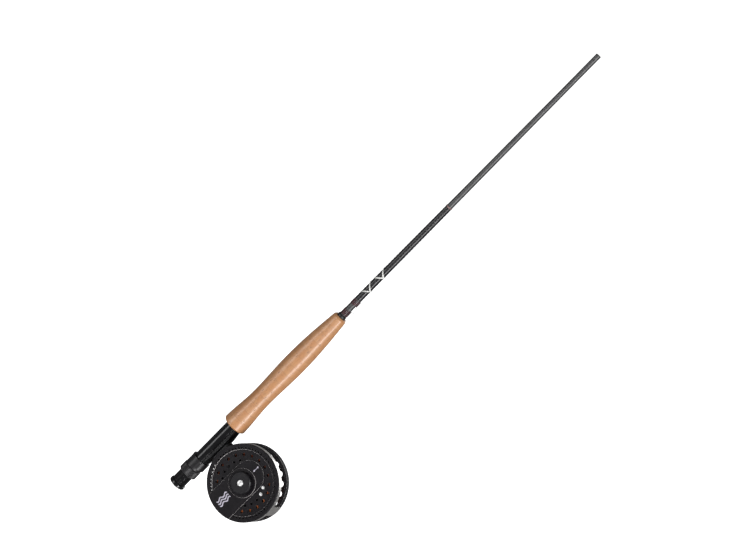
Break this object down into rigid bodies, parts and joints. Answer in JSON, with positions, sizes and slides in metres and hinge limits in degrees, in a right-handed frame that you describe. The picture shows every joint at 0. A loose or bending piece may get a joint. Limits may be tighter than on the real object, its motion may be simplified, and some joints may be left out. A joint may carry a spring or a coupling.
{
  "type": "fly fishing rod butt section with reel",
  "caption": "Fly rod butt section with cork grip, screw-locking reel seat and a perforated fly reel with turning spool, drag knob and crank handle.",
  "frame": {"origin": "centre of the end cap's outer face, on the rod's axis", "axes": "+Z along the rod from butt to ferrule, +X from the rod to the reel, +Y along the spool's axis towards the crank handle"},
  "size_m": [0.1147, 0.0549, 0.672],
  "materials": {
    "anodised_black": "satin black anodised, worn bright at edges",
    "bright_aluminium": "bright machined",
    "polished_steel": "polished",
    "brass": "machined",
    "cork": "sanded cork",
    "blank_black": "matte carbon fibre blank",
    "gloss_wrap": "thread wrap under gloss epoxy",
    "dark_thread": "dark red thread under epoxy",
    "white_thread": "white thread under epoxy",
    "metallic_thread": "metallic copper thread under epoxy",
    "backing": "wound braided backing",
    "handle_resin": "satin moulded",
    "print_grey": "printed"
  },
  "bodies": {
    "root": {"butt_cap": "anodised_black", "seat_barrel": "anodised_black", "seat_arbors": "cork", "fixed_hood": "anodised_black", "cork_ring_01": "cork", "cork_ring_02": "cork", "cork_ring_03": "cork", "cork_ring_04": "cork", "cork_ring_05": "cork", "cork_ring_06": "cork", "cork_ring_07": "cork", "cork_ring_08": "cork", "cork_ring_09": "cork", "cork_ring_10": "cork", "cork_ring_11": "cork", "cork_ring_12": "cork", "cork_ring_13": "cork", "cork_ring_14": "cork", "winding_check": "anodised_black", "hook_keeper": "polished_steel", "keeper_wraps": "dark_thread", "butt_wrap": "gloss_wrap", "cross_wrap": "white_thread", "trim_wrap": "metallic_thread", "blank": "blank_black", "reel_foot": "anodised_black", "foot_screws": "polished_steel", "back_plate": "anodised_black", "reel_frame": "bright_aluminium", "front_ring": "anodised_black", "index_mark": "print_grey", "badge": "print_grey", "pawl_rivets": "polished_steel", "spindle": "polished_steel", "spindle_nut": "brass", "knob_screw": "polished_steel", "push_pins": "polished_steel", "drag_spring": "polished_steel", "pressure_plate": "bright_aluminium", "drag_washer": "cork", "click_pawl": "polished_steel", "pawl_spring": "polished_steel"},
    "hood": {"sliding_hood": "anodised_black"},
    "nut": {"lock_nut": "anodised_black"},
    "drag_knob": {"drag_knob": "anodised_black"},
    "drag_hub": {"drag_hub": "bright_aluminium", "click_gear": "brass", "hub_bushes": "brass"},
    "spool": {"spool": "anodised_black", "backing_winding": "backing", "counterweight": "bright_aluminium", "handle_post": "polished_steel", "hub_cover": "anodised_black", "cover_screws": "polished_steel", "latch_spring": "polished_steel"},
    "latch": {"latch_button": "bright_aluminium"},
    "handle": {"handle_knob": "handle_resin"}
  },
  "joints": [
    {"name": "hood_slide", "type": "slide", "parent": "root", "child": "hood", "axis": [0, 0, -1], "range_m": [0, 0.008]},
    {"name": "lock_nut_turn", "type": "hinge", "parent": "hood", "child": "nut", "pos_m": [0, 0, 0.0232], "axis": [0, 0, -1], "range_deg": [0, 1920]},
    {"name": "drag_knob_turn", "type": "hinge", "parent": "root", "child": "drag_knob", "pos_m": [0.0574, -0.0185, 0.0654], "axis": [0, -1, 0], "range_deg": [0, 330]},
    {"name": "spool_spin", "type": "hinge", "parent": "root", "child": "drag_hub", "pos_m": [0.0574, 0, 0.0654], "axis": [0, 1, 0], "continuous": true},
    {"name": "spool_pull", "type": "slide", "parent": "drag_hub", "child": "spool", "axis": [0, 1, 0], "range_m": [0, 0.03]},
    {"name": "latch_press", "type": "slide", "parent": "spool", "child": "latch", "axis": [0, -1, 0], "range_m": [0, 0.0009], "stiffness_N_per_m": 400, "deforming": ["latch_spring"]},
    {"name": "handle_spin", "type": "hinge", "parent": "spool", "child": "handle", "pos_m": [0.0574, 0.0255, 0.038], "axis": [0, 1, 0], "continuous": true}
  ],
  "couplings": [
    {"joint": "hood_slide", "follows": "lock_nut_turn", "m_per_rad": 0.00023873}
  ]
}
